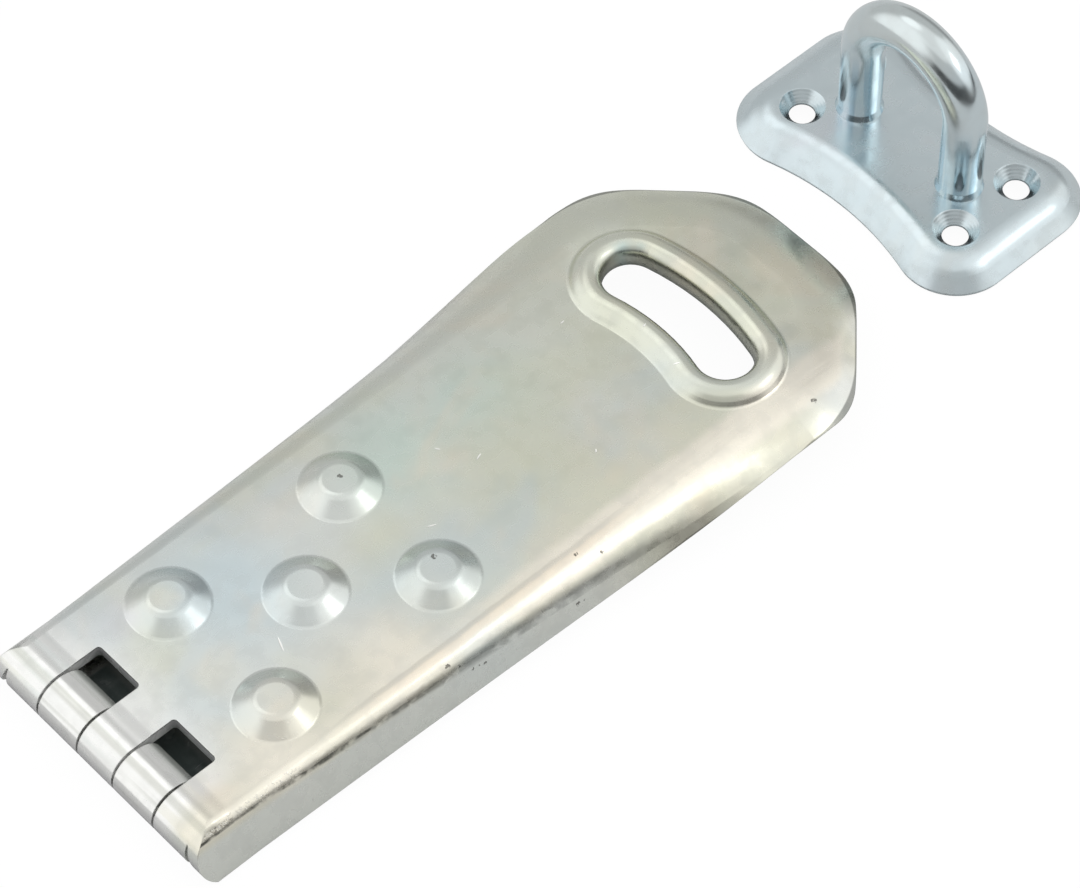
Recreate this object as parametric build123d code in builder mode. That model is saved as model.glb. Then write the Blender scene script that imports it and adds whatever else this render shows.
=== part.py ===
"""Chest hasp: a flanged cover leaf hinged over a base leaf, and the staple that its slot drops over.

The origin is the middle of the base leaf's four corner screw holes, on the face that lies on the chest.
+X runs from the hinge to the slot and on to the staple, and +Z stands off the chest.
"""
from build123d import *
import os
from math import cos, radians, sin, tan

# Sheet, pin and clearances
sheet = 3.0  # thickness of the leaves and the staple plate
pin_diameter = 6.5
running_clearance = 0.05  # radial, pin in the cover leaf's knuckles
knuckle_gap = 0.6  # between neighbouring knuckles, along the pin
lift_clearance = 1.4  # from a turning knuckle to the edge of the base leaf

# Knuckles, along the pin
centre_knuckle = 10.7
base_knuckle = 12.1
end_knuckle = 9.8
knuckle_end = 20.0  # degrees from level, where a rolled knuckle stops
window_reach = 10.9  # pin axis to the far edge of a window
window_corner = 1.0
pin_chamfer = 0.5

# Cover leaf
pin_to_pattern = 50.4  # pin axis to the middle of the screw holes
leaf_reach = 192.2  # pin axis to the far edge
leaf_half_width = 41.5  # at the slot end, where the flanges have opened out
flange_turn = 71.0  # degrees, how far the flanges are folded down at the hinge
flange_bend = 3.4  # outer bend radius at the hinge
flange_hold = 8.0  # pin axis to where the bend starts to open
rim_reach = 36.2  # far edge back to where the flanges have opened into the rim
fade_levelling = 0.15  # last part of the opening, where it levels off into the rim
rim_turn = 29.5  # degrees, how far the rim dips round the slot end
rim_lip = 1.0  # straight of the rim, past its bend
corner_cut = 24.1  # each corner of the slot end
corner_round = 14.0
pan_round = 16.0  # corners of the flat inside the dipping rim

# Screw holes, and the bosses pressed over them
hole_diameter = 6.0
countersink_diameter = 10.5
hole_spacing_x = 45.2
hole_spacing_y = 32.4
boss_shift = 0.8  # the bosses near the hinge stand wider than the holes, the others narrower
boss_base = 9.0
boss_top = 4.6
boss_height = 2.9
boss_root_round = 1.2
boss_crown_round = 3.0

# Slot and its raised collar
slot_inset = 35.1  # far edge back to the middle of the slot
slot_width = 12.8
slot_bow = 58.0  # radius that the slot is bent to
slot_sweep = 29.2  # degrees between the centres of its round ends
collar_width = 7.2
collar_height = 2.6
collar_slope = 40.0  # degrees from upright, the collar's outer side
collar_root_round = 0.9
collar_crest_round = 4.2
collar_roll = 2.8  # outer radius where the collar turns down into the slot

# Base leaf
base_half_width = 27.5
base_reach = 86.0  # pin axis to the end of the base leaf
base_corner = 8.0

# Staple
staple_gap = 38.2  # far edge of the cover leaf to the staple's bow, as the two pieces lie
staple_aside = 4.5
plate_length = 78.5
plate_waist = 42.4  # width at the middle
waist_bow = 70.0  # radius of the two bowed sides
plate_height = 6.0
plate_slope = 45.0  # degrees from upright, the pressed edge
plate_corner = 14.5
plate_edge = 1.3  # bevel round the plate's foot, where the sheared edge is turned under
plate_bend = 8.0
staple_hole_x = 19.2
staple_hole_y = 48.0
bow_diameter = 10.0
bow_spacing = 31.2
bow_straight = 20.0  # length of leg above the plate
foot_swell = 0.5  # how far the foot of a leg stands proud of the leg
foot_height = 1.6
rivet_diameter = 8.0
rivet_head_diameter = 11.5
rivet_head_height = 1.6

# Shared places
knuckle_diameter = pin_diameter + 2 * (sheet + running_clearance)
axis_z = knuckle_diameter / 2
leaf_top = knuckle_diameter
leaf_under = leaf_top - sheet
pin_x = -pin_to_pattern
window_near = centre_knuckle / 2
window_far = window_near + base_knuckle + 2 * knuckle_gap
window_middle = (window_near + window_far) / 2
knuckles_half = window_far + end_knuckle
flange_root = knuckles_half
flange_open = leaf_reach - rim_reach
slot_middle = leaf_reach - slot_inset
boss_near_y = hole_spacing_y / 2 + boss_shift
boss_far_y = hole_spacing_y / 2 - boss_shift
rim_run = leaf_half_width - flange_root
rim_radius = (rim_run - rim_lip * cos(radians(rim_turn))) / sin(radians(rim_turn))
rim_drop = rim_radius * (1 - cos(radians(rim_turn))) + rim_lip * sin(radians(rim_turn))
trim_allowance = 3.0  # sheet left outside the slot end's outline until it is cut
rim_z = leaf_top - rim_drop
base_notch = knuckle_diameter / 2 + lift_clearance
staple_x = pin_x + leaf_reach + staple_gap
beyond = 10.0  # how far a cutting tool runs past what it cuts

hole_places = [(x * hole_spacing_x / 2, y * hole_spacing_y / 2) for x in (-1, 1) for y in (-1, 1)] + [(0, 0)]
boss_places = [
    (-hole_spacing_x / 2, boss_near_y),
    (-hole_spacing_x / 2, -boss_near_y),
    (hole_spacing_x / 2, boss_far_y),
    (hole_spacing_x / 2, -boss_far_y),
    (0, 0),
]

os.makedirs("parts", exist_ok=True)


def rounds_slot(edge, height, away):
    """Whether an edge lies at a height and runs round the slot at a distance from its centre line."""
    box = edge.bounding_box()
    level = abs(box.min.Z - height) < 0.01 and abs(box.max.Z - height) < 0.01
    middle = edge.position_at(0.5)
    return level and abs(slot_line.edge().distance_to((middle.X, middle.Y, 0)) - away) < 0.05


def is_boss_ring(edge, radius, height):
    """Whether a round edge has a boss's radius and lies at a height."""
    return abs(edge.radius - radius) < 0.01 and abs(edge.center().Z - height) < 0.01


def opening_share(reach):
    """How far the flange has opened at a distance from the pin, from 0 to 1, where it levels off."""
    share = min(max((reach - flange_hold) / (flange_open - flange_hold), 0.0), 1.0)
    share -= max(0.0, share - 1 + fade_levelling) ** 2 / (2 * fade_levelling)
    return share / (1 - fade_levelling / 2)


def flange_section(reach, allowance=0.0):
    """Cross-section of one flange at a distance from the pin, from the edge of the flat outwards.

    At the hinge a tight bend leaves a straight flange that stands on the chest. Towards the slot end
    the bend takes up the whole flange, and turns less.
    """
    hinge_turn = radians(flange_turn)
    hinge_fall = flange_bend * (1 - cos(hinge_turn)) + sheet * cos(hinge_turn)
    hinge_bend = (flange_bend - sheet / 2) * hinge_turn
    hinge_length = hinge_bend + (leaf_top - hinge_fall) / sin(hinge_turn)
    rim_bend = (rim_radius - sheet / 2) * radians(rim_turn)
    rim_length = rim_bend + rim_lip + allowance
    share = opening_share(reach)
    turn = flange_turn - (flange_turn - rim_turn) * share**4
    bend = hinge_bend + (rim_bend - hinge_bend) * share
    straight = hinge_length + (rim_length - hinge_length) * share - bend
    radius = bend / radians(turn) + sheet / 2
    along = Vector(cos(radians(turn)), -sin(radians(turn)))
    out = Vector(sin(radians(turn)), cos(radians(turn)))
    centre = Vector(flange_root, leaf_top - radius)
    outer_bend = centre + out * radius
    inner_bend = centre + out * (radius - sheet)
    outer_foot = outer_bend + along * straight
    inner_foot = inner_bend + along * straight
    with BuildSketch(Plane.YZ.offset(pin_x + reach)) as section:
        with BuildLine():
            CenterArc(centre, radius, 90 - turn, turn)
            CenterArc(centre, radius - sheet, 90 - turn, turn)
            Polyline(outer_bend, outer_foot, inner_foot, inner_bend)
            Line((flange_root, leaf_top), (flange_root, leaf_under))
        make_face()
    return section.sketch


# Flat of the slot end, inside the rim that dips all round it
pan_reach = leaf_reach - rim_run
pan_cut = corner_cut - (2 - 2**0.5) * rim_run
with BuildLine() as pan_line:
    FilletPolyline(
        (pin_x + flange_open, flange_root),
        (pin_x + pan_reach - pan_cut, flange_root),
        (pin_x + pan_reach, flange_root - pan_cut),
        (pin_x + pan_reach, pan_cut - flange_root),
        (pin_x + pan_reach - pan_cut, -flange_root),
        (pin_x + flange_open, -flange_root),
        radius=pan_round,
    )
# Outline of the slot end, its edge square to the dipped sheet
with BuildPart() as slot_end_blank:
    with BuildSketch(Plane.XY.offset(rim_z)):
        with Locations((pin_x + flange_open - beyond, 0)):
            Rectangle(leaf_reach - flange_open + beyond, 2 * leaf_half_width, align=(Align.MIN, Align.CENTER))
        chamfer(vertices().group_by(Axis.X)[-1], corner_cut)
        fillet(vertices().filter_by(lambda v: v.X > pin_x + flange_open), corner_round)
    extrude(amount=rim_drop)
    extrude(faces().sort_by(Axis.Z)[0], amount=rim_z, dir=(0, 0, -1), taper=rim_turn)

with BuildPart() as slot_end:
    with BuildSketch(Plane.XY.offset(leaf_under)):
        with BuildLine():
            add(pan_line.line)
            Line((pin_x + flange_open, -flange_root), (pin_x + flange_open, flange_root))
        make_face()
    extrude(amount=sheet)
    rim_path = pan_line.wire().moved(Location((0, 0, leaf_top)))
    sweep(flange_section(flange_open, trim_allowance), path=rim_path)
    add(slot_end_blank.part, mode=Mode.INTERSECT)

# Distances from the pin at which the flange's section is taken while it opens
stages = 16
stations = [flange_hold + (flange_open - flange_hold) * stage / stages for stage in range(stages + 1)]

# Profiles across the pin of the two kinds of rolled knuckle
with BuildSketch(Plane.XZ) as cover_roll:
    with Locations((pin_x, axis_z)):
        Circle(knuckle_diameter / 2)
        Circle(pin_diameter / 2 + running_clearance, mode=Mode.SUBTRACT)
    with BuildLine():
        Polyline(
            (pin_x, axis_z),
            (pin_x, leaf_under),
            (pin_x + beyond, leaf_under),
            (pin_x + beyond, axis_z - beyond * tan(radians(knuckle_end))),
            close=True,
        )
    make_face(mode=Mode.SUBTRACT)

with BuildSketch(Plane.XZ) as base_roll:
    with Locations((pin_x, axis_z)):
        Circle(knuckle_diameter / 2)
        Circle(pin_diameter / 2, mode=Mode.SUBTRACT)
    with BuildLine():
        Polyline(
            (pin_x, axis_z),
            (pin_x, sheet),
            (pin_x + beyond, sheet),
            (pin_x + beyond, axis_z + beyond * tan(radians(knuckle_end))),
            close=True,
        )
    make_face(mode=Mode.SUBTRACT)

# Centre line of the slot, bowed away from the hinge
slot_line = CenterArc((pin_x + slot_middle - slot_bow, 0), slot_bow, -slot_sweep / 2, slot_sweep)

# Hollow under the collar, between its outer side and the turned-down wall of the slot, and a full
# sheet below its crest
hollow_foot = collar_width - sheet * (1 / cos(radians(collar_slope)) - tan(radians(collar_slope)))
hollow_height = min(collar_height, (hollow_foot - sheet) / tan(radians(collar_slope)))
with BuildPart() as collar_hollow:
    with BuildSketch(Plane.XY.offset(leaf_under)):
        SlotArc(slot_line.edge(), slot_width + 2 * hollow_foot)
    extrude(amount=hollow_height, taper=collar_slope)
    with BuildSketch(Plane.XY.offset(leaf_under)):
        SlotArc(slot_line.edge(), slot_width + 2 * sheet)
    extrude(amount=hollow_height, mode=Mode.SUBTRACT)

with BuildPart() as cover_leaf:
    # Flat, flanges and slot end of the pressed sheet
    with BuildSketch(Plane.XY.offset(leaf_under)):
        with Locations((pin_x, 0)):
            Rectangle(flange_open, 2 * flange_root, align=(Align.MIN, Align.CENTER))
    extrude(amount=sheet)
    loft([flange_section(station) for station in stations])
    extrude(flange_section(flange_hold), amount=flange_hold + axis_z, dir=(-1, 0, 0))
    mirror(about=Plane.XZ)
    add(slot_end.part)
    # Hinge end, rounded about the pin
    with BuildSketch(Plane.XZ):
        with Locations((pin_x, axis_z)):
            Circle(knuckle_diameter / 2)
        with Locations((pin_x, 0)):
            Rectangle(leaf_reach, leaf_top, align=(Align.MIN, Align.MIN))
    extrude(amount=leaf_half_width, both=True, mode=Mode.INTERSECT)
    # Windows for the base leaf's knuckles
    with BuildSketch():
        with Locations((pin_x + window_reach, window_middle), (pin_x + window_reach, -window_middle)):
            Rectangle(window_reach + axis_z, window_far - window_near, align=(Align.MAX, Align.CENTER))
        fillet(vertices().group_by(Axis.X)[-1], window_corner)
    extrude(amount=leaf_top, mode=Mode.SUBTRACT)
    # Rolled knuckles
    extrude(cover_roll.sketch, amount=centre_knuckle / 2, both=True)
    for side in (-1, 1):
        with BuildSketch(Plane.XZ.offset(-side * window_far)):
            add(cover_roll.sketch)
        extrude(amount=-side * end_knuckle)
    # Bosses pressed up over the screw heads
    with Locations(*[(x, y, leaf_top) for x, y in boss_places]):
        Cone(boss_base, boss_top, boss_height, align=(Align.CENTER, Align.CENTER, Align.MIN))
    boss_slope = (boss_base - boss_top) / boss_height
    slant = (1 + boss_slope**2) ** 0.5
    hollow_top = boss_top - sheet * (slant - boss_slope)
    hollow_base = boss_base - sheet * (slant - boss_slope)
    with Locations(*[(x, y, leaf_under) for x, y in boss_places]):
        Cone(
            hollow_base,
            hollow_top,
            boss_height,
            align=(Align.CENTER, Align.CENTER, Align.MIN),
            mode=Mode.SUBTRACT,
        )
    rings = edges().filter_by(GeomType.CIRCLE)
    fillet([ring for ring in rings if is_boss_ring(ring, boss_base, leaf_top)], boss_root_round)
    rings = edges().filter_by(GeomType.CIRCLE)
    fillet([ring for ring in rings if is_boss_ring(ring, boss_top, leaf_top + boss_height)], boss_crown_round)
    # Collar pressed up round the slot, its inner edge turned down through the sheet
    with BuildSketch(Plane.XY.offset(leaf_top)):
        SlotArc(slot_line.edge(), slot_width + 2 * collar_width)
    extrude(amount=collar_height, taper=collar_slope)
    collar_foot = slot_width / 2 + collar_width
    fillet([edge for edge in edges() if rounds_slot(edge, leaf_top, collar_foot)], collar_root_round)
    with BuildSketch():
        SlotArc(slot_line.edge(), slot_width)
    extrude(amount=leaf_top + collar_height, mode=Mode.SUBTRACT)
    crest_z = leaf_top + collar_height
    collar_crest = collar_foot - collar_height * tan(radians(collar_slope))
    fillet([edge for edge in edges() if rounds_slot(edge, crest_z, slot_width / 2)], collar_roll)
    fillet([edge for edge in edges() if rounds_slot(edge, crest_z, collar_crest)], collar_crest_round)
    add(collar_hollow.part, mode=Mode.SUBTRACT)
cover_leaf.part.label = "cover_leaf"
export_step(cover_leaf.part, "parts/cover_leaf.step")

with BuildPart() as base_leaf:
    # Plate, cut back from the turning knuckles of the cover leaf
    with BuildSketch():
        with Locations((pin_x, 0)):
            Rectangle(base_reach, 2 * base_half_width, align=(Align.MIN, Align.CENTER))
        fillet(vertices().group_by(Axis.X)[-1], base_corner)
        with Locations((pin_x, 0)):
            Rectangle(base_notch, 2 * base_half_width, align=(Align.MIN, Align.CENTER), mode=Mode.SUBTRACT)
        with Locations((pin_x, window_middle), (pin_x, -window_middle)):
            Rectangle(base_notch, base_knuckle, align=(Align.MIN, Align.CENTER))
    extrude(amount=sheet)
    # Rolled knuckles, squeezed tight on the pin
    for side in (-1, 1):
        with BuildSketch(Plane.XZ.offset(-side * window_middle)):
            add(base_roll.sketch)
        extrude(amount=base_knuckle / 2, both=True)
    # Countersunk screw holes
    with Locations(*[(x, y, sheet) for x, y in hole_places]):
        CounterSinkHole(hole_diameter / 2, countersink_diameter / 2, depth=sheet)
base_leaf.part.label = "base_leaf"
export_step(base_leaf.part, "parts/base_leaf.step")

with BuildPart() as hinge_pin:
    with BuildSketch(Plane.XZ):
        with Locations((pin_x, axis_z)):
            Circle(pin_diameter / 2)
    extrude(amount=knuckles_half, both=True)
    chamfer(edges().filter_by(GeomType.CIRCLE), pin_chamfer)
hinge_pin.part.label = "hinge_pin"
export_step(hinge_pin.part, "parts/hinge_pin.step")

with BuildPart() as staple_plate:
    # Waisted outline: two bowed sides, two straight ends and round corners
    half_length = plate_length / 2
    end_x = plate_waist / 2 + waist_bow - (waist_bow**2 - half_length**2) ** 0.5
    with BuildSketch(Plane((staple_x, staple_aside, 0))):
        with BuildLine():
            ThreePointArc((end_x, -half_length), (plate_waist / 2, 0), (end_x, half_length))
            Line((end_x, half_length), (-end_x, half_length))
            ThreePointArc((-end_x, half_length), (-plate_waist / 2, 0), (-end_x, -half_length))
            Line((-end_x, -half_length), (end_x, -half_length))
        make_face()
        fillet(vertices(), plate_corner)
    extrude(amount=plate_height, taper=plate_slope)
    fillet(edges().group_by(Axis.Z)[-1], plate_bend)
    offset(amount=-sheet, openings=faces().sort_by(Axis.Z)[0])
    chamfer(faces().sort_by(Axis.Z)[0].outer_wire().edges(), plate_edge)
    with Locations((staple_x, staple_aside, plate_height)):
        with GridLocations(staple_hole_x, staple_hole_y, 2, 2):
            CounterSinkHole(hole_diameter / 2, countersink_diameter / 2, depth=sheet)
        with GridLocations(0, bow_spacing, 1, 2):
            Hole(rivet_diameter / 2, depth=sheet)
staple_plate.part.label = "staple_plate"
export_step(staple_plate.part, "parts/staple_plate.step")

with BuildPart() as staple_bow:
    bow_radius = bow_diameter / 2
    legs = (staple_aside - bow_spacing / 2, staple_aside + bow_spacing / 2)
    spring_z = plate_height + bow_straight
    with BuildLine(Plane.YZ.offset(staple_x)):
        Line((legs[0], plate_height), (legs[0], spring_z))
        ThreePointArc((legs[0], spring_z), (staple_aside, spring_z + bow_spacing / 2), (legs[1], spring_z))
        Line((legs[1], spring_z), (legs[1], plate_height))
    with BuildSketch(Plane.XY.offset(plate_height)):
        with Locations((staple_x, legs[0])):
            Circle(bow_radius)
    sweep()
    # Foot of each leg: a swelled shoulder on the plate, a rivet through it and a head clenched under it
    plate_under = plate_height - sheet
    head_radius = rivet_head_diameter / 2
    for leg in legs:
        with BuildSketch(Plane((staple_x, leg, 0), (1, 0, 0), (0, -1, 0))):
            with BuildLine():
                Polyline(
                    (0, plate_under - rivet_head_height),
                    (head_radius - rivet_head_height, plate_under - rivet_head_height),
                    (head_radius, plate_under - rivet_head_height / 2),
                    (head_radius, plate_under),
                    (rivet_diameter / 2, plate_under),
                    (rivet_diameter / 2, plate_height),
                    (bow_radius + foot_swell, plate_height),
                    (bow_radius, plate_height + foot_height),
                    (0, plate_height + foot_height),
                    close=True,
                )
            make_face()
        revolve(axis=Axis((staple_x, leg, 0), (0, 0, 1)))
staple_bow.part.label = "staple_bow"
export_step(staple_bow.part, "parts/staple_bow.step")
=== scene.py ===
"""Looks of the chest hasp: bright zinc plate on the steel, soft studio light and the photograph's view."""

import math

import bpy
from mathutils import Matrix, Vector


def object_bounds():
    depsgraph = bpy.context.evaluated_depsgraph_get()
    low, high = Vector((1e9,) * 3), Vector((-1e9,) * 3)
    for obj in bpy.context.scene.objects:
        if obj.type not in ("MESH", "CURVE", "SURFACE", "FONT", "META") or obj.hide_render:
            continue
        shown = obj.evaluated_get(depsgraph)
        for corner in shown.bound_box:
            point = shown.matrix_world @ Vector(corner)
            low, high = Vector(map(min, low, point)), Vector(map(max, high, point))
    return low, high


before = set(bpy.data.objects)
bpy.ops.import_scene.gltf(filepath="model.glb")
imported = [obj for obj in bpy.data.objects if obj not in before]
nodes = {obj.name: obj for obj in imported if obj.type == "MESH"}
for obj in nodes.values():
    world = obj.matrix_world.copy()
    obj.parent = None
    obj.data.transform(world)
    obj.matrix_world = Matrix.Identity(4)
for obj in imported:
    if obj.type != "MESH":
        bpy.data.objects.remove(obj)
cad_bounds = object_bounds()
mm = 0.001

# Photograph's view, in the object's own frame, in metres and degrees
camera_place = (-0.3179, -0.4315, 0.7824)
camera_elevation = 53.46  # looking down
camera_azimuth = 48.43  # from +X towards +Y
camera_roll = 1.03
focal_length = 152.2  # millimetres
sensor_width = 36.0  # millimetres
camera_clip = 10

# Studio: a room with one level at its sides and one overhead. Heights are sines of a direction's
# elevation, and nearness is the cosine of its angle to a bright or dark place.
room_level = 0.58
zenith_level = 0.87
zenith_heights = (0.78, 0.88)
# Bright places: direction, level, nearness where the light starts and is full
bright_places = [
    ((0.482, -0.517, 0.707), 1.05, (0.78, 0.92)),
    ((0.869, -0.282, 0.407), 1.0, (0.925, 0.975)),
    ((-0.663, 0.557, 0.500), 1.08, (0.68, 0.92)),
    ((0.050, 0.521, 0.852), 1.25, (0.948, 0.985)),
]
# Dark places low in the room: the same, with the heights under which the dark starts and is full
dark_places = [
    ((0.93, 0.37, 0.0), 0.36, (0.88, 0.97), (0.60, 0.30)),
    ((-0.66, -0.75, 0.0), 0.08, (0.35, 0.75), (0.50, 0.32)),
    ((0.0, -1.0, 0.0), 0.08, (0.15, 0.45), (0.20, 0.07)),
]
# One soft lamp, to the right of the camera, in metres and watts
lamp_place = (0.67, -0.67, 0.92)
lamp_aim = (0.04, 0.0, 0.0)
lamp_size = (0.5, 0.35)
lamp_power = 0.6
# Pale floor, which the camera sees mostly by its own white glow
floor_half = 3.0
floor_colour = (0.75, 0.75, 0.75, 1)
floor_glow = 1.04
floor_glow_share = 0.92
white = (1.0, 1.0, 1.0, 1)

# Base colours of the zinc plate on each piece
leaf_colour = (0.76, 0.79, 0.755, 1)
base_colour = (0.77, 0.79, 0.74, 1)
pin_colour = (0.70, 0.71, 0.70, 1)
staple_colour = (0.67, 0.76, 0.79, 1)
# Tints of the plate
olive_tint = (0.74, 0.755, 0.61, 1)
warm_tint = (0.80, 0.77, 0.64, 1)
# painted highlight on the rim's corner at the slot end
rim_highlight = (0.88, 0.89, 0.87, 1)
# golden tint, brightened along the bend of the camera's side as a painted highlight
golden_tint_and_highlight = (0.97, 0.92, 0.80, 1)
cream_tint = (0.82, 0.79, 0.67, 1)
blue_tint = (0.63, 0.73, 0.76, 1)
green_tint = (0.665, 0.77, 0.70, 1)
rose_tint = (0.88, 0.775, 0.63, 1)
cyan_tint = (0.42, 0.74, 0.78, 1)
tan_tint = (0.80, 0.70, 0.50, 1)
mauve_tint = (0.74, 0.73, 0.79, 1)
# painted reflection on the legs of the staple's bow
leg_reflection_blue = (0.40, 0.55, 0.64, 1)
# Wear and dirt, and painted highlights, reflections and shade
bare_metal = (0.92, 0.92, 0.90, 1)
nick_bright = (1.0, 1.0, 0.96, 1)
dust = (0.56, 0.57, 0.55, 1)
# painted shade at the far end of the slot and the root of its collar
slot_end_shade = (0.48, 0.50, 0.46, 1)
shaded = (0.50, 0.52, 0.49, 1)  # painted shade, matt, on the base knuckles' side towards the windows
crest_shade_grey = (0.46, 0.47, 0.40, 1)  # painted shade behind the knuckles' crest
low_side_shade_grey = (0.48, 0.47, 0.50, 1)  # painted shade low on the hinge's end
streak_grey = (0.46, 0.48, 0.42, 1)
root_brown = (0.56, 0.53, 0.46, 1)
# painted shade on the cover leaf's underside
underside_shade = (0.35, 0.36, 0.34, 1)
# painted shade, lighter high on the walls of the windows and the slot
sheared = (0.24, 0.23, 0.26, 1)  # cut faces
gall_dark = (0.20, 0.18, 0.16, 1)
pit_dark = (0.10, 0.09, 0.08, 1)
deep_shade = (0.10, 0.125, 0.12, 1)  # painted shade deep in the windows and low on their walls
# painted dark: a reflection along the bend's crease and shade along the rim's sheared edge
painted_dark = (0.03, 0.035, 0.03, 1)

# Patches of colour on the cover leaf: x, y, radius in millimetres, tint, strength
leaf_patches = [
    (-12, 12, 26, blue_tint, 0.85),
    (-30, -4, 12, blue_tint, 0.35),
    (8, 28, 14, blue_tint, 0.5),
    (36, 14, 24, green_tint, 0.95),
    (60, 12, 20, green_tint, 0.95),
    (20, -2, 15, olive_tint, 0.75),
    (50, -5, 24, olive_tint, 0.7),
    (124, 0, 16, olive_tint, 0.8),
    (122, 18, 14, olive_tint, 0.6),
    (-46, -24, 7, rose_tint, 0.5),
    (-34, 22, 9, mauve_tint, 0.5),
    (-46, 24, 6, mauve_tint, 0.6),
    (-27, -3, 9, cream_tint, 0.5),
    (-24, 17, 5, cream_tint, 0.5),
    # painted highlights on the rim's corner at the slot end
    (118, -38, 16, rim_highlight, 0.9),
    (134, -26, 9, rim_highlight, 0.6),
    # painted shade at the far end of the slot
    (118, 4, 22, slot_end_shade, 0.5),
    # golden tint and painted highlight along the bend of the camera's side
    (-30, -26, 13, golden_tint_and_highlight, 0.6),
    (4, -26, 16, golden_tint_and_highlight, 0.6),
    # painted shade at the far root of the slot's collar
    (122, -4, 4, slot_end_shade, 0.5),
    (120, -19, 5, slot_end_shade, 0.4),
    (109, 20, 3, cyan_tint, 0.35),
    (79, -34, 8, tan_tint, 0.5),
]
patch_stray = (12, -9)  # how far noise moves the patches' edges along X and Y, in millimetres
patch_soft = 0.9  # share of the radius over which a patch fades
# Dark pits: x, y, z and radius in millimetres
leaf_pits = [
    (23.1, 15.9, 15.5, 0.8),
    (23.9, -12.7, 15.5, 0.9),
    (111.4, -35.0, 11.5, 0.9),
    (9.7, -32.7, 11.0, 0.8),
    (12.0, -33.6, 10.0, 0.5),
    (14.4, -34.9, 7.9, 0.6),
    (16.3, -35.0, 7.7, 0.4),
    (17.6, -35.3, 7.2, 0.6),
    (47.1, -30.5, 12.4, 0.6),
    (51.9, -33.2, 11.4, 0.5),
    (41.8, -36.9, 6.4, 0.7),
    (43.6, -37.1, 6.3, 0.5),
]
# Light nicks: x, y, length in millimetres, direction in degrees
leaf_nicks = [
    (49.0, 1.6, 2.2, 20),
    (44.0, 9.0, 1.6, -60),
    (97.0, 2.0, 1.2, 10),
    (95.0, -10.0, 1.8, -35),
    (68.0, -14.0, 1.2, 50),
    (30.0, -5.0, 2.4, -25),
    (-12.2, -6.2, 4.5, -112),
    (86.0, 16.0, 1.4, 5),
]
# Clouds in a piece's three tints: shift in metres, features a metre, noise where a cloud starts and is
# full, share
clouds = [
    (0.0, 26.0, (0.48, 0.68), 1.0),
    (0.7, 20.0, (0.50, 0.70), 1.0),
    (1.9, 34.0, (0.56, 0.74), 0.7),
]
cloud_noise = (3.0, 0.55, 0.6)  # detail, roughness and distortion
# Sets of fine scratches: direction in degrees, width in millimetres, noise where a scratch starts
scratch_sets = [
    (31.0, 0.35, 0.70),
    (-52.0, 0.3, 0.72),
    (4.0, 0.4, 0.71),
]
scratch_length = 14  # millimetres
scratch_noise = (1.0, 2.0, 0.6)
scratch_edge = 0.08

# Noises of the finish: features a metre, detail and roughness, and for the galling also distortion
mottle_noise = (260.0, 2.5, 0.55)
grain_noise = (1500.0, 3.0, 0.6)
wave_noise = (38.0, 2.0, 0.5)
drift_noise = (60.0, 3.0, 0.6)
dark_line_noise = (220.0, 3.0, 0.6)
galling_noise = (900.0, 4.0, 0.7, 1.5)
ragged_noise = (1600.0, 2.0, 0.6)
# Marks of the rolling on the knuckles: features a radian round the pin, features a metre along it, shift,
# detail and roughness
roll_steps = (2.2, 9.0, 0.0, 0.0, 0.4)
roll_streaks = (4.2, 22.0, 3.7, 1.0, 0.35)

# Relief of each mark in millimetres, up or down
wave_relief = 0.25
mottle_relief = 0.001
grain_relief = 0.0001
scratch_relief = -0.0002
galling_relief = 0.03
pit_relief = -0.15
nick_relief = -0.02
line_relief = -0.02
cover_step_relief = 0.5
base_step_relief = 0.9
ring_relief = 0.004
edge_round = 0.25  # worn round of the sheared edges

# Mottling: noise where dust or roughness starts and is full, how much dust shows, and how far the
# roughness goes below and above that of the piece
dust_levels = (0.40, 0.75)
dust_share = 0.16
rough_levels = (0.3, 0.7)
rough_less = 0.04
rough_more = 0.06
scratch_share = 0.12
scratch_roughness = 0.05
matt_share = 0.8  # how dull the matt places are

# Each pair below says where a finish starts and where it is full, in millimetres, or in the surface's
# normal where it is named facing and in noise where it is named levels. A strip or band is full between
# its two numbers and softens outside them. Shares and rates are what the finish goes from and to.

# Cover leaf: olive towards the slot and warm on the camera's side
olive_run = (10, 110)
olive_share = 0.6
warm_stray = 14
warm_side = (0, -18)
warm_share = 0.85
# Golden strip on the bend of the camera's side: a golden tint, brightened as a painted highlight
golden_stray = 3
golden_strip = (-32, -26)
golden_soft = 3
golden_run = (10, 50)
golden_shares = (0.35, 0.9)
golden_heights = (10, 11)
# Greyer flanges
flange_heights = (10.5, 8.5)
flange_run = (70, 40)
flange_share = 0.8
# Rose and brown lines along that bend's root
line_stray = 1.6
rose_strip = (-29.8, -29.0)
rose_soft = 0.9
rose_heights = (11, 12)
rose_start = (-30, 10)
rose_end = (72, 50)
rose_share = 0.6
brown_strip = (-28.4, -27.9)
brown_soft = 0.7
brown_start = (-25, 0)
brown_end = (75, 45)
brown_share = 0.45
# Painted dark reflection, patchy, in the crease between the bend and the flange
crease_facing = (-0.87, -0.83)
crease_soft = 0.04
crease_run = (75, 20)
crease_heights = (6, 8)
dark_line_levels = (0.35, 0.6)
dark_line_run = (20, -20)
dark_line_shares = (0.4, 0.85)
# Galled corner at the hinge end of that bend, and sparser galling further on
corner_facing = (-0.74, -0.62)
corner_soft = 0.08
corner_run = (-42, -48)
corner_heights = (6, 9)
corner_levels = (0.50, 0.62)
corner_dark_levels = (0.46, 0.38)
corner_dark_share = 0.8
sparse_facing = (-0.72, -0.50)
sparse_soft = 0.12
sparse_run = (-18, -34)
sparse_levels = (0.56, 0.64)
sparse_share = 0.7
galling_share = 0.6
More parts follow.
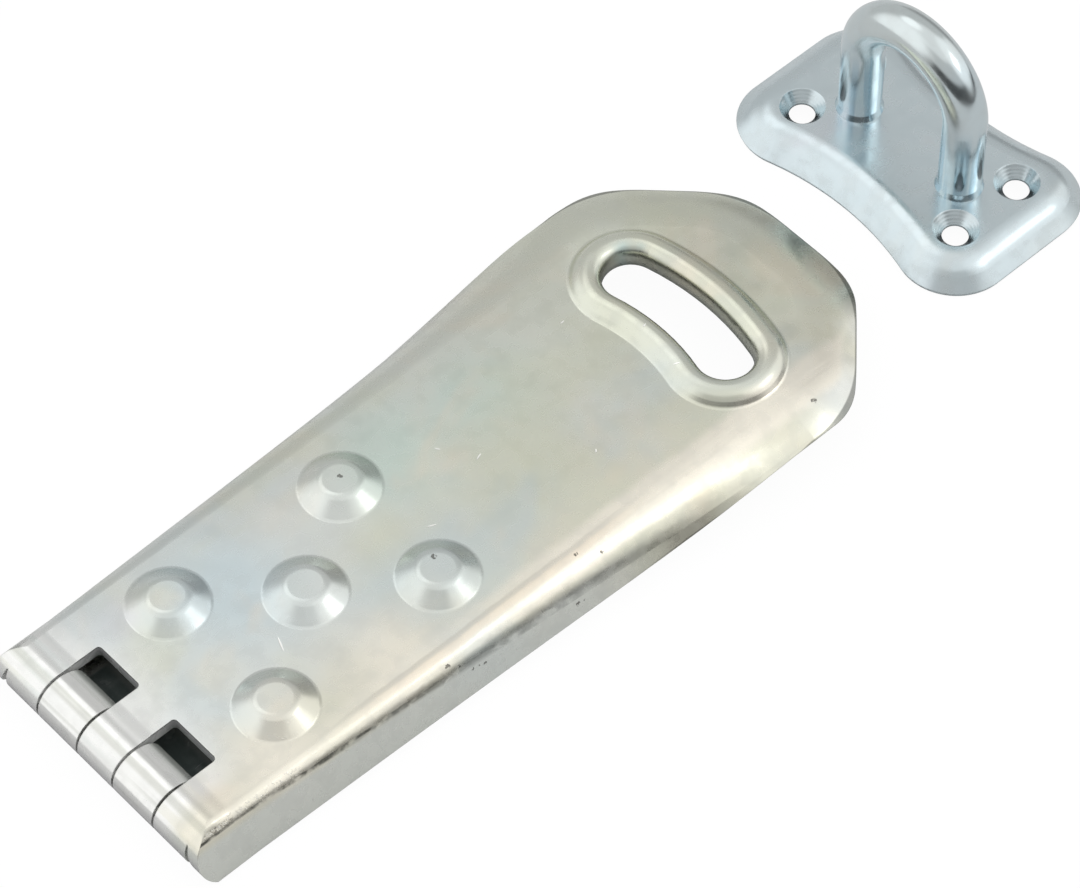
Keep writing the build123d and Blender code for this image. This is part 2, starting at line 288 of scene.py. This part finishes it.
# Pits and nicks
pit_core = 0.3  # share of the radius where a pit is full
ragged_levels = (0.40, 0.62)
pit_levels = (0.1, 0.5)
pit_share = 0.75
nick_half_width = 0.22
nick_edge = (1.0, 0.5)  # shares of a nick's half length or half width
nick_facing = (0.5, 0.8)
# Painted shade on the walls of the windows and the slot
wall_facing = (0.45, 0.25)
windows_strip = (-56, -39)
windows_soft = 0.3
windows_side = (19.6, 19.2)
windows_heights = (12.5, 12.0)
slot_strip = (85, 120)
slot_soft = 1
slot_side = (23, 22)
slot_heights = (12.0, 9.6)
slot_share = 0.75
slate_heights = (12.0, 9.8)
# Painted shade: a thin dark line along the sheared edge, and a darker underside
# Sheared edge, which climbs from the flange's foot at edge_start, given as x and z, to the rim
edge_start = (60, 4.8)
edge_slope = 0.091
edge_top = 8.9
edge_heights = (0.28, 0.08)
edge_run = (50, 75)
edge_share = 0.6
under_facing = (-0.1, -0.4)
under_share = 0.35
# Crown of the flat: where it starts from the middle line, and the fall's rate before and at the slot
crown_start = 13
crown_run = (92, 112)
crown_rates = (-2.5, 0.0)

# Knuckles, round the pin's x and z
pin_place = (-50.4, 6.3)
cover_roll_run = (-45, -50)
cover_roll_facing = (0.7, 0.3)
burnish_run = (-30, -52)
burnish_side = (-27, -21)
burnish_levels = (0.35, 0.6)
burnish_shares = (0.55, 0.95)
base_roll_run = (-41, -44)
base_burnish = 0.85
base_streak_levels = (0.47, 0.30)
base_streak_share = 0.35
# Painted shade on the knuckles by degrees from their crest, with minus towards the hinge's end
crest_band = (-21, -14)
crest_soft = 8
crest_share = 0.4
low_side = (-70, -95)
low_share = 0.6
matt_shade_side = (14, 44)
# Painted shade where the windows show the base leaf behind its knuckles
inside_start = (-46.5, -44.5)
inside_end = (-35, -39)
inside_side = (21, 19)
inside_heights = (9, 5)
inside_facing = (-0.6, -0.2)

# Screw holes of the base leaf and the staple: how far along X and Y from the middle of the piece
base_holes = (22.6, 16.2)
base_middle = (0.0, 0.0)
staple_holes = (9.6, 24.0)
staple_middle = (180.0, 4.5)
ring_pitch = 0.55
ring_reach = (5.4, 5.0)
# Painted reflection: dark blue streaks on the legs of the staple's bow
reflection_streak_size = (1.6, 1.6, 40)
reflection_streak_noise = (1.0, 1.0, 0.4)
reflection_streak_levels = (0.42, 0.62)
reflection_streak_heights = (30, 20)
reflection_streak_share = 0.75


def make_camera():
    """The photograph's camera, a long lens that looks down across the hasp."""
    elevation = math.radians(camera_elevation)
    azimuth = math.radians(camera_azimuth)
    forward = Vector((
        math.cos(elevation) * math.cos(azimuth),
        math.cos(elevation) * math.sin(azimuth),
        -math.sin(elevation),
    ))
    level_right = forward.cross(Vector((0, 0, 1))).normalized()
    right = Matrix.Rotation(math.radians(camera_roll), 3, forward) @ level_right
    up = right.cross(forward)
    turn = Matrix((right, up, -forward)).transposed().to_4x4()
    data = bpy.data.cameras.new("camera")
    data.sensor_fit = "HORIZONTAL"
    data.sensor_width = sensor_width
    data.lens = focal_length
    data.clip_end = camera_clip
    camera = bpy.data.objects.new("camera", data)
    camera.matrix_world = Matrix.Translation(camera_place) @ turn
    bpy.context.scene.collection.objects.link(camera)
    bpy.context.scene.camera = camera


class Nodes:
    """A material's or world's node tree, with one short call for each kind of node."""

    def __init__(self, owner):
        owner.use_nodes = True
        self.tree = owner.node_tree
        self.tree.nodes.clear()

    def link(self, value, socket):
        """Feeds a socket from another socket, or sets it to a plain value."""
        if isinstance(value, bpy.types.NodeSocket):
            self.tree.links.new(value, socket)
        else:
            socket.default_value = value

    def add(self, kind, inputs=(), **settings):
        """A node with some of its inputs and settings given."""
        node = self.tree.nodes.new("ShaderNode" + kind)
        for name, value in settings.items():
            setattr(node, name, value)
        for name, value in dict(inputs).items():
            self.link(value, node.inputs[name])
        return node

    def math(self, operation, first, second=0.0, clamp=False):
        """A sum, product or other operation on two numbers."""
        node = self.add("Math", operation=operation, use_clamp=clamp)
        self.link(first, node.inputs[0])
        self.link(second, node.inputs[1])
        return node.outputs[0]

    def size(self, number):
        """A number without its sign."""
        return self.math("ABSOLUTE", number)

    def product(self, first, *others):
        """The product of several numbers."""
        for other in others:
            first = self.math("MULTIPLY", first, other)
        return first

    def total(self, first, *others):
        """The sum of several numbers."""
        for other in others:
            first = self.math("ADD", first, other)
        return first

    def vector(self, operation, first, second=(0.0, 0.0, 0.0)):
        """An operation on two vectors."""
        node = self.add("VectorMath", operation=operation)
        self.link(first, node.inputs[0])
        self.link(second, node.inputs[1])
        is_number = operation in ("LENGTH", "DOT_PRODUCT", "DISTANCE")
        return node.outputs["Value" if is_number else "Vector"]

    def parts(self, vector):
        """The three numbers of a vector."""
        return self.add("SeparateXYZ", {0: vector}).outputs

    def joined(self, x, y, z=0.0):
        """A vector of three numbers."""
        return self.add("CombineXYZ", {0: x, 1: y, 2: z}).outputs[0]

    def ramp(self, value, span, ends=(0.0, 1.0)):
        """A smooth step between two ends as a value crosses a span."""
        node = self.add("MapRange", interpolation_type="SMOOTHSTEP")
        for socket, number in zip(node.inputs, (value, *span, *ends)):
            self.link(number, socket)
        return node.outputs[0]

    def fade(self, value, span, ends=(0.0, 1.0)):
        """A smooth step across a span in millimetres."""
        return self.ramp(value, [number * mm for number in span], ends)

    def band(self, value, span, soft):
        """One within a span, and zero outside, with soft ends."""
        low, high = span
        return self.product(self.ramp(value, (low - soft, low)), self.ramp(value, (high + soft, high)))

    def strip(self, value, span, soft):
        """One within a span in millimetres, and zero outside, with soft ends."""
        return self.band(value, [number * mm for number in span], soft * mm)

    def blend(self, share, first, second):
        """A number between two numbers."""
        node = self.add("Mix", data_type="FLOAT")
        for socket, number in zip((node.inputs[0], node.inputs[2], node.inputs[3]), (share, first, second)):
            self.link(number, socket)
        return node.outputs[0]

    def mix(self, share, first, second):
        """A colour between two colours."""
        node = self.add("Mix", data_type="RGBA")
        for socket, value in zip((node.inputs[0], node.inputs[6], node.inputs[7]), (share, first, second)):
            self.link(value, socket)
        return node.outputs[2]

    def noise(self, place, scale, detail, roughness, distortion=0.0):
        """Cloudy noise from 0 to 1, with so many features a metre."""
        inputs = {
            "Vector": place,
            "Scale": scale,
            "Detail": detail,
            "Roughness": roughness,
            "Distortion": distortion,
        }
        return self.add("TexNoise", inputs).outputs["Fac"]

    def local(self, place, centre, turn, scale):
        """A place as seen from a centre, turned about Z and measured in units of scale."""
        rotation = (0.0, 0.0, math.radians(turn))
        inputs = {"Vector": place, "Location": centre, "Rotation": rotation, "Scale": scale}
        return self.add("Mapping", inputs, vector_type="TEXTURE").outputs[0]

    def spot(self, place, x, y, radius, soft):
        """One at a place on the plan, given in millimetres, and zero outside its radius."""
        flat = self.local(place, (x * mm, y * mm, 0.0), 0.0, (radius * mm, radius * mm, 1.0))
        return self.ramp(self.vector("LENGTH", flat), (1.0, 1.0 - soft))


class Surface(Nodes):
    """A new material's nodes, with the place of each point of the surface and the way it faces."""

    def __init__(self, name):
        self.material = bpy.data.materials.new(name)
        super().__init__(self.material)
        self.coordinates = self.add("TexCoord")
        self.place = self.coordinates.outputs["Object"]
        self.x, self.y, self.z = self.parts(self.place)

    def facing(self, axis):
        """How far the surface faces along an axis, from -1 to 1."""
        return self.parts(self.coordinates.outputs["Normal"])[axis]


def clouded(shade, colour, strength, tints):
    """A colour under faint clouds of three tints, as passivated zinc shows."""
    for (shift, scale, levels, share), tint in zip(clouds, tints):
        moved = shade.vector("ADD", shade.place, (shift, shift, 0.0))
        cloud = shade.ramp(shade.noise(moved, scale, *cloud_noise), levels)
        colour = shade.mix(shade.product(cloud, strength * share), colour, tint)
    return colour


def scratched(shade):
    """Fine scratches in three directions, one on a scratch and zero elsewhere."""
    lines = []
    for turn, width, start in scratch_sets:
        scale = (scratch_length * mm, width * mm, scratch_length * mm)
        stretched = shade.local(shade.place, (0.0, 0.0, 0.0), turn, scale)
        lines.append(shade.ramp(shade.noise(stretched, *scratch_noise), (start, start + scratch_edge)))
    return shade.total(*lines)


def finish_zinc(shade, colour, roughness, relief=0.0, matt=0.0):
    """The surface itself: satin mottling, fine grain and scratches over a colour, and dull where matt."""
    mottle = shade.noise(shade.place, *mottle_noise)
    grain = shade.noise(shade.place, *grain_noise)
    wave = shade.noise(shade.place, *wave_noise)
    scratches = scratched(shade)
    colour = shade.mix(shade.ramp(mottle, dust_levels, (0.0, dust_share)), colour, dust)
    colour = shade.mix(shade.product(scratches, scratch_share), colour, bare_metal)
    mottled = shade.ramp(mottle, rough_levels, (roughness - rough_less, roughness + rough_more))
    rough = shade.total(mottled, shade.product(scratches, scratch_roughness))
    height = shade.total(
        shade.product(wave, wave_relief * mm),
        shade.product(mottle, mottle_relief * mm),
        shade.product(grain, grain_relief * mm),
        shade.product(scratches, scratch_relief * mm),
        relief,
    )
    rounded = shade.add("Bevel", {"Radius": edge_round * mm}, samples=4).outputs[0]
    bump = shade.add("Bump", {"Height": height, "Strength": 1.0, "Distance": 1.0, "Normal": rounded})
    metallic = shade.math("SUBTRACT", 1.0, matt, clamp=True) if matt else 1.0
    inputs = {"Base Color": colour, "Metallic": metallic, "Roughness": rough, "Normal": bump.outputs[0]}
    surface = shade.add("BsdfPrincipled", inputs)
    shade.add("OutputMaterial", {"Surface": surface.outputs[0]})


def rolled(shade, angle, round_scale, long_scale, shift, detail, roughness):
    """Noise drawn out along the knuckles."""
    drawn_out = shade.joined(shade.product(angle, round_scale), shade.product(shade.y, long_scale), shift)
    return shade.noise(drawn_out, 1.0, detail, roughness)


def roll_marks(shade):
    """Uneven steps and streaks left along the knuckles by their rolling, and degrees from the crest."""
    pin_x, pin_z = pin_place
    out = shade.math("SUBTRACT", shade.x, pin_x * mm)
    up = shade.math("SUBTRACT", shade.z, pin_z * mm)
    angle = shade.math("ARCTAN2", out, up)
    degrees = shade.product(angle, 180 / math.pi)
    return rolled(shade, angle, *roll_steps), rolled(shade, angle, *roll_streaks), degrees


def banded(shade, colour, degrees, share):
    """Painted shade: a dark band behind the crest of the knuckles and a greyer side low on the hinge's end.
    """
    behind = shade.product(shade.band(degrees, crest_band, crest_soft), share, crest_share)
    colour = shade.mix(behind, colour, crest_shade_grey)
    low = shade.product(shade.ramp(degrees, low_side), share, low_share)
    return shade.mix(low, colour, low_side_shade_grey)


def turned_rings(shade, holes, middle):
    """Height of the rings left in the countersinks by turning."""
    from_hole = []
    for place, centre, hole in zip((shade.x, shade.y), middle, holes):
        from_middle = shade.size(shade.math("SUBTRACT", place, centre * mm))
        from_hole.append(shade.math("SUBTRACT", from_middle, hole * mm))
    away = shade.vector("LENGTH", shade.joined(*from_hole))
    rings = shade.math("SINE", shade.product(away, 2 * math.pi / (ring_pitch * mm)))
    return shade.product(rings, shade.fade(away, ring_reach), ring_relief * mm)


def across(shade, drift, stray):
    """Distance across the leaf, made wavy by noise of so many millimetres."""
    return shade.total(shade.y, shade.product(drift, stray * mm))


def tint_flat(shade, drift):
    """Colour of the flat: olive towards the slot, warm on the camera's side, with patches and clouds."""
    olive = shade.fade(shade.x, olive_run, (0.0, olive_share))
    colour = shade.mix(olive, leaf_colour, olive_tint)
    warm = shade.fade(across(shade, drift, warm_stray), warm_side, (0.0, warm_share))
    colour = shade.mix(warm, colour, warm_tint)
    stray_x, stray_y = patch_stray
    stray = shade.joined(shade.product(drift, stray_x * mm), shade.product(drift, stray_y * mm))
    strayed = shade.vector("ADD", shade.place, stray)
    # some patches are painted highlights and painted shade
    for x, y, radius, tint, strength in leaf_patches:
        spot = shade.spot(strayed, x + stray_x / 2, y + stray_y / 2, radius, patch_soft)
        colour = shade.mix(shade.product(spot, strength), colour, tint)
    return clouded(shade, colour, strength=0.55, tints=(olive_tint, blue_tint, rose_tint))


def tint_bend(shade, colour, drift):
    """A golden tint with a painted highlight on the bend, greyer flanges, and two lines at the bend's root.

    Returns the colour, and the share of the rose line, which is also a shallow groove.
    """
    golden = shade.product(
        shade.strip(across(shade, drift, golden_stray), golden_strip, golden_soft),
        shade.fade(shade.x, golden_run, golden_shares),
        shade.fade(shade.z, golden_heights),
    )
    colour = shade.mix(golden, colour, golden_tint_and_highlight)
    flange = shade.product(shade.fade(shade.z, flange_heights), shade.fade(shade.x, flange_run), flange_share)
    colour = shade.mix(flange, colour, leaf_colour)
    wavy = across(shade, drift, line_stray)
    line = shade.product(shade.strip(wavy, rose_strip, rose_soft), shade.fade(shade.z, rose_heights))
    reach = shade.product(shade.fade(shade.x, rose_start), shade.fade(shade.x, rose_end))
    colour = shade.mix(shade.product(line, reach, rose_share), colour, rose_tint)
    brown = shade.product(
        shade.strip(wavy, brown_strip, brown_soft),
        shade.fade(shade.x, brown_start),
        shade.fade(shade.x, brown_end),
        brown_share,
    )
    return shade.mix(brown, colour, root_brown), line


def paint_dark_reflection(shade, colour):
    """A patchy painted dark reflection in the low line where the bend meets the flange."""
    crease = shade.product(
        shade.band(shade.facing("Y"), crease_facing, crease_soft),
        shade.fade(shade.x, crease_run),
        shade.fade(shade.z, crease_heights),
    )
    most = shade.fade(shade.x, dark_line_run, dark_line_shares)
    patchy = shade.ramp(shade.noise(shade.place, *dark_line_noise), dark_line_levels, (0.0, most))
    return shade.mix(shade.product(crease, patchy), colour, painted_dark)


def gall_corner(shade, colour):
    """Galled metal at the hinge end of the bend. Returns the colour and the share of the galling."""
    fine = shade.noise(shade.place, *galling_noise)
    side = shade.facing("Y")
    corner = shade.product(
        shade.band(side, corner_facing, corner_soft),
        shade.fade(shade.x, corner_run),
        shade.fade(shade.z, corner_heights),
    )
    sparse = shade.product(
        shade.band(side, sparse_facing, sparse_soft),
        shade.fade(shade.x, sparse_run),
        shade.ramp(fine, sparse_levels),
        sparse_share,
    )
    galling = shade.math("MAXIMUM", shade.product(corner, shade.ramp(fine, corner_levels)), sparse)
    colour = shade.mix(shade.product(galling, galling_share), colour, bare_metal)
    dark = shade.product(corner, shade.ramp(fine, corner_dark_levels), corner_dark_share)
    return shade.mix(dark, colour, gall_dark), galling


def add_pits(shade, colour):
    """Ragged dark pits. Returns the colour and the share of the pits."""
    pits = 0.0
    for *centre, radius in leaf_pits:
        away = shade.vector("DISTANCE", shade.place, [number * mm for number in centre])
        pits = shade.math("MAXIMUM", pits, shade.fade(away, (radius, pit_core * radius)))
    ragged = shade.ramp(shade.noise(shade.place, *ragged_noise), ragged_levels)
    pits = shade.ramp(shade.product(pits, ragged), pit_levels)
    return shade.mix(shade.product(pits, pit_share), colour, pit_dark), pits


def add_nicks(shade, colour):
    """Short bright nicks on the flat. Returns the colour and the share of the nicks."""
    nicks = 0.0
    for x, y, length, turn in leaf_nicks:
        scale = (length / 2 * mm, nick_half_width * mm, 1.0)
        near = shade.local(shade.place, (x * mm, y * mm, 0.0), turn, scale)
        nicks = shade.math("MAXIMUM", nicks, shade.ramp(shade.vector("LENGTH", near), nick_edge))
    nicks = shade.product(nicks, shade.ramp(shade.facing("Z"), nick_facing))
    return shade.mix(nicks, colour, nick_bright), nicks


def darken_walls(shade, colour):
    """Matt sheared walls in windows and slot, in painted shade darkest low down. Returns their share too."""
    upright = shade.ramp(shade.size(shade.facing("Z")), wall_facing)
    from_middle = shade.size(shade.y)
    in_windows = shade.product(
        shade.strip(shade.x, windows_strip, windows_soft),
        shade.fade(from_middle, windows_side),
        shade.fade(shade.z, windows_heights),
    )
    in_slot = shade.product(
        shade.strip(shade.x, slot_strip, slot_soft),
        shade.fade(from_middle, slot_side),
        shade.fade(shade.z, slot_heights),
        slot_share,
    )
    walls = shade.product(upright, shade.math("ADD", in_windows, in_slot, clamp=True))
    wall_colour = shade.mix(shade.fade(shade.z, slate_heights), sheared, deep_shade)
    return shade.mix(walls, colour, wall_colour), walls


def darken_edge(shade, colour):
    """Painted shade: a thin dark line along the rim's sheared edge, and a darker underside."""
    start_x, start_z = edge_start
    climb = shade.total(start_z * mm - start_x * mm * edge_slope, shade.product(shade.x, edge_slope))
    edge_z = shade.math("MINIMUM", edge_top * mm, climb)
    above = shade.math("SUBTRACT", shade.z, edge_z)
    line = shade.product(shade.fade(above, edge_heights), shade.fade(shade.x, edge_run), edge_share)
    colour = shade.mix(line, colour, painted_dark)
    below = shade.product(shade.ramp(shade.facing("Z"), under_facing), under_share)
    return shade.mix(below, colour, underside_shade)


def burnish_knuckles(shade, colour):
    """Burnished and banded knuckles of the cover leaf. Returns the colour and the height of their steps."""
    off_ends = shade.ramp(shade.size(shade.facing("Y")), cover_roll_facing)
    at_roll = shade.product(shade.fade(shade.x, cover_roll_run), off_ends)
    steps, streaks, degrees = roll_marks(shade)
    burnished = shade.product(
        shade.fade(shade.x, burnish_run),
        shade.fade(shade.y, burnish_side),
        shade.ramp(streaks, burnish_levels, burnish_shares),
    )
    colour = shade.mix(burnished, colour, bare_metal)
    colour = banded(shade, colour, degrees, at_roll)
    return colour, shade.product(steps, at_roll, cover_step_relief * mm)


def crowned(shade):
    """Fall of the flat away from its middle line, which the solid doesn't have."""
    over = shade.math("MAXIMUM", 0.0, shade.math("SUBTRACT", shade.size(shade.y), crown_start * mm))
    return shade.product(over, over, shade.fade(shade.x, crown_run, crown_rates))


def make_leaf_zinc():
    """The cover leaf's plate, with all its tints, wear and dirt, painted highlights, reflections and shade.
    """
    shade = Surface("zinc_cover")
    drift = shade.noise(shade.place, *drift_noise)
    colour = tint_flat(shade, drift)
    colour, line = tint_bend(shade, colour, drift)
    # painted dark reflection along the bend's crease
    colour = paint_dark_reflection(shade, colour)
    colour, galling = gall_corner(shade, colour)
    colour, pits = add_pits(shade, colour)
    colour, nicks = add_nicks(shade, colour)
    colour, walls = darken_walls(shade, colour)
    colour = darken_edge(shade, colour)
    colour, steps = burnish_knuckles(shade, colour)
    relief = shade.total(
        crowned(shade),
        steps,
        shade.product(galling, galling_relief * mm),
        shade.product(pits, pit_relief * mm),
        shade.product(nicks, nick_relief * mm),
        shade.product(line, line_relief * mm),
    )
    finish_zinc(shade, colour, roughness=0.26, relief=relief, matt=shade.product(walls, matt_share))
    return shade.material


def make_base_zinc():
    """The base leaf: knuckles with steps and a matt side of painted shade, and painted shade in the windows.
    """
    shade = Surface("zinc_base")
    colour = clouded(shade, base_colour, strength=0.35, tints=(cream_tint, blue_tint, rose_tint))
    steps, streaks, degrees = roll_marks(shade)
    at_roll = shade.fade(shade.x, base_roll_run)
    colour = shade.mix(shade.product(at_roll, base_burnish), colour, bare_metal)
    streak = shade.product(shade.ramp(streaks, base_streak_levels), at_roll, base_streak_share)
    colour = shade.mix(streak, colour, streak_grey)
    colour = banded(shade, colour, degrees, at_roll)
    # painted shade, also matt, on the base knuckles' side towards the windows
    dull = shade.product(shade.ramp(degrees, matt_shade_side), at_roll)
    colour = shade.mix(dull, colour, shaded)
    # painted shade where the windows show the base leaf behind its knuckles
    inside = shade.product(
        shade.fade(shade.x, inside_start),
        shade.fade(shade.z, inside_heights),
        shade.fade(shade.x, inside_end),
        shade.fade(shade.size(shade.y), inside_side),
        shade.ramp(shade.facing("Z"), inside_facing),
    )
    colour = shade.mix(inside, colour, deep_shade)
    rings = turned_rings(shade, base_holes, base_middle)
    relief = shade.total(rings, shade.product(steps, at_roll, base_step_relief * mm))
    matt = shade.product(shade.math("MAXIMUM", dull, inside), matt_share)
    finish_zinc(shade, colour, roughness=0.22, relief=relief, matt=matt)
    return shade.material


def make_pin_zinc():
    """The hinge pin's plate."""
    shade = Surface("zinc_pin")
    colour = clouded(shade, pin_colour, strength=0.15, tints=(cream_tint, blue_tint, mauve_tint))
    finish_zinc(shade, colour, roughness=0.22)
    return shade.material


def make_plate_zinc():
    """The bluish plate of the staple's pressed piece, with turned rings in its countersinks."""
    shade = Surface("zinc_plate")
    colour = clouded(shade, staple_colour, strength=0.45, tints=(leaf_colour, blue_tint, mauve_tint))
    finish_zinc(shade, colour, roughness=0.24, relief=turned_rings(shade, staple_holes, staple_middle))
    return shade.material


def make_bow_zinc():
    """The brighter plate of the staple's bow, with upright streaks of painted reflection on its legs."""
    shade = Surface("zinc_bow")
    colour = clouded(shade, staple_colour, strength=0.4, tints=(leaf_colour, blue_tint, mauve_tint))
    upright = shade.local(shade.place, (0.0, 0.0, 0.0), 0.0, [number * mm for number in reflection_streak_size])
    streaks = shade.ramp(shade.noise(upright, *reflection_streak_noise), reflection_streak_levels)
    leg_reflection = shade.product(streaks, shade.fade(shade.z, reflection_streak_heights), reflection_streak_share)
    colour = shade.mix(leg_reflection, colour, leg_reflection_blue)
    finish_zinc(shade, colour, roughness=0.17)
    return shade.material


def paint(node, material):
    """Gives a CAD node one material."""
    node.data.materials.clear()
    node.data.materials.append(material)


def make_floor():
    """A wide pale floor at the object's lowest point."""
    lowest = cad_bounds[0].z
    corners = [
        (-floor_half, -floor_half, lowest),
        (floor_half, -floor_half, lowest),
        (floor_half, floor_half, lowest),
        (-floor_half, floor_half, lowest),
    ]
    mesh = bpy.data.meshes.new("floor")
    mesh.from_pydata(corners, [], [(0, 1, 2, 3)])
    floor = bpy.data.objects.new("floor", mesh)
    bpy.context.scene.collection.objects.link(floor)
    material = bpy.data.materials.new("floor")
    shade = Nodes(material)
    glowing = shade.product(shade.add("LightPath").outputs["Is Camera Ray"], floor_glow_share)
    matt = shade.add("BsdfDiffuse", {"Color": floor_colour})
    glow = shade.add("Emission", {"Color": white, "Strength": floor_glow})
    mixed = shade.add("MixShader", {0: glowing, 1: matt.outputs[0], 2: glow.outputs[0]})
    shade.add("OutputMaterial", {"Surface": mixed.outputs[0]})
    mesh.materials.append(material)


def make_world():
    """A pale room: a lighter ceiling, dark places low down, bright places, and white to the camera."""
    world = bpy.data.worlds.new("studio")
    bpy.context.scene.world = world
    shade = Nodes(world)
    direction = shade.add("TexCoord").outputs["Generated"]
    height = shade.parts(direction)[2]
    level = shade.blend(shade.ramp(height, zenith_heights), room_level, zenith_level)
    for side, dark_level, nearness, heights in dark_places:
        near = shade.ramp(shade.vector("DOT_PRODUCT", direction, side), nearness)
        level = shade.blend(shade.product(near, shade.ramp(height, heights)), level, dark_level)
    for side, bright_level, nearness in bright_places:
        near = shade.ramp(shade.vector("DOT_PRODUCT", direction, side), nearness)
        level = shade.blend(near, level, bright_level)
    strength = shade.math("MAXIMUM", level, shade.add("LightPath").outputs["Is Camera Ray"])
    background = shade.add("Background", {"Color": white, "Strength": strength})
    shade.add("OutputWorld", {"Surface": background.outputs[0]})


def make_lamp():
    """The large soft lamp, turned to face its aim."""
    data = bpy.data.lights.new("softbox_right", "AREA")
    data.shape = "RECTANGLE"
    data.size, data.size_y = lamp_size
    data.energy = lamp_power
    lamp = bpy.data.objects.new("softbox_right", data)
    lamp.location = lamp_place
    lamp.rotation_euler = (Vector(lamp_aim) - Vector(lamp_place)).to_track_quat("-Z", "Y").to_euler()
    bpy.context.scene.collection.objects.link(lamp)


make_camera()
make_world()
make_floor()
make_lamp()
paint(nodes["cover_leaf"], make_leaf_zinc())
paint(nodes["base_leaf"], make_base_zinc())
paint(nodes["hinge_pin"], make_pin_zinc())
paint(nodes["staple_plate"], make_plate_zinc())
paint(nodes["staple_bow"], make_bow_zinc())

bpy.context.scene.view_settings.view_transform = "Standard"
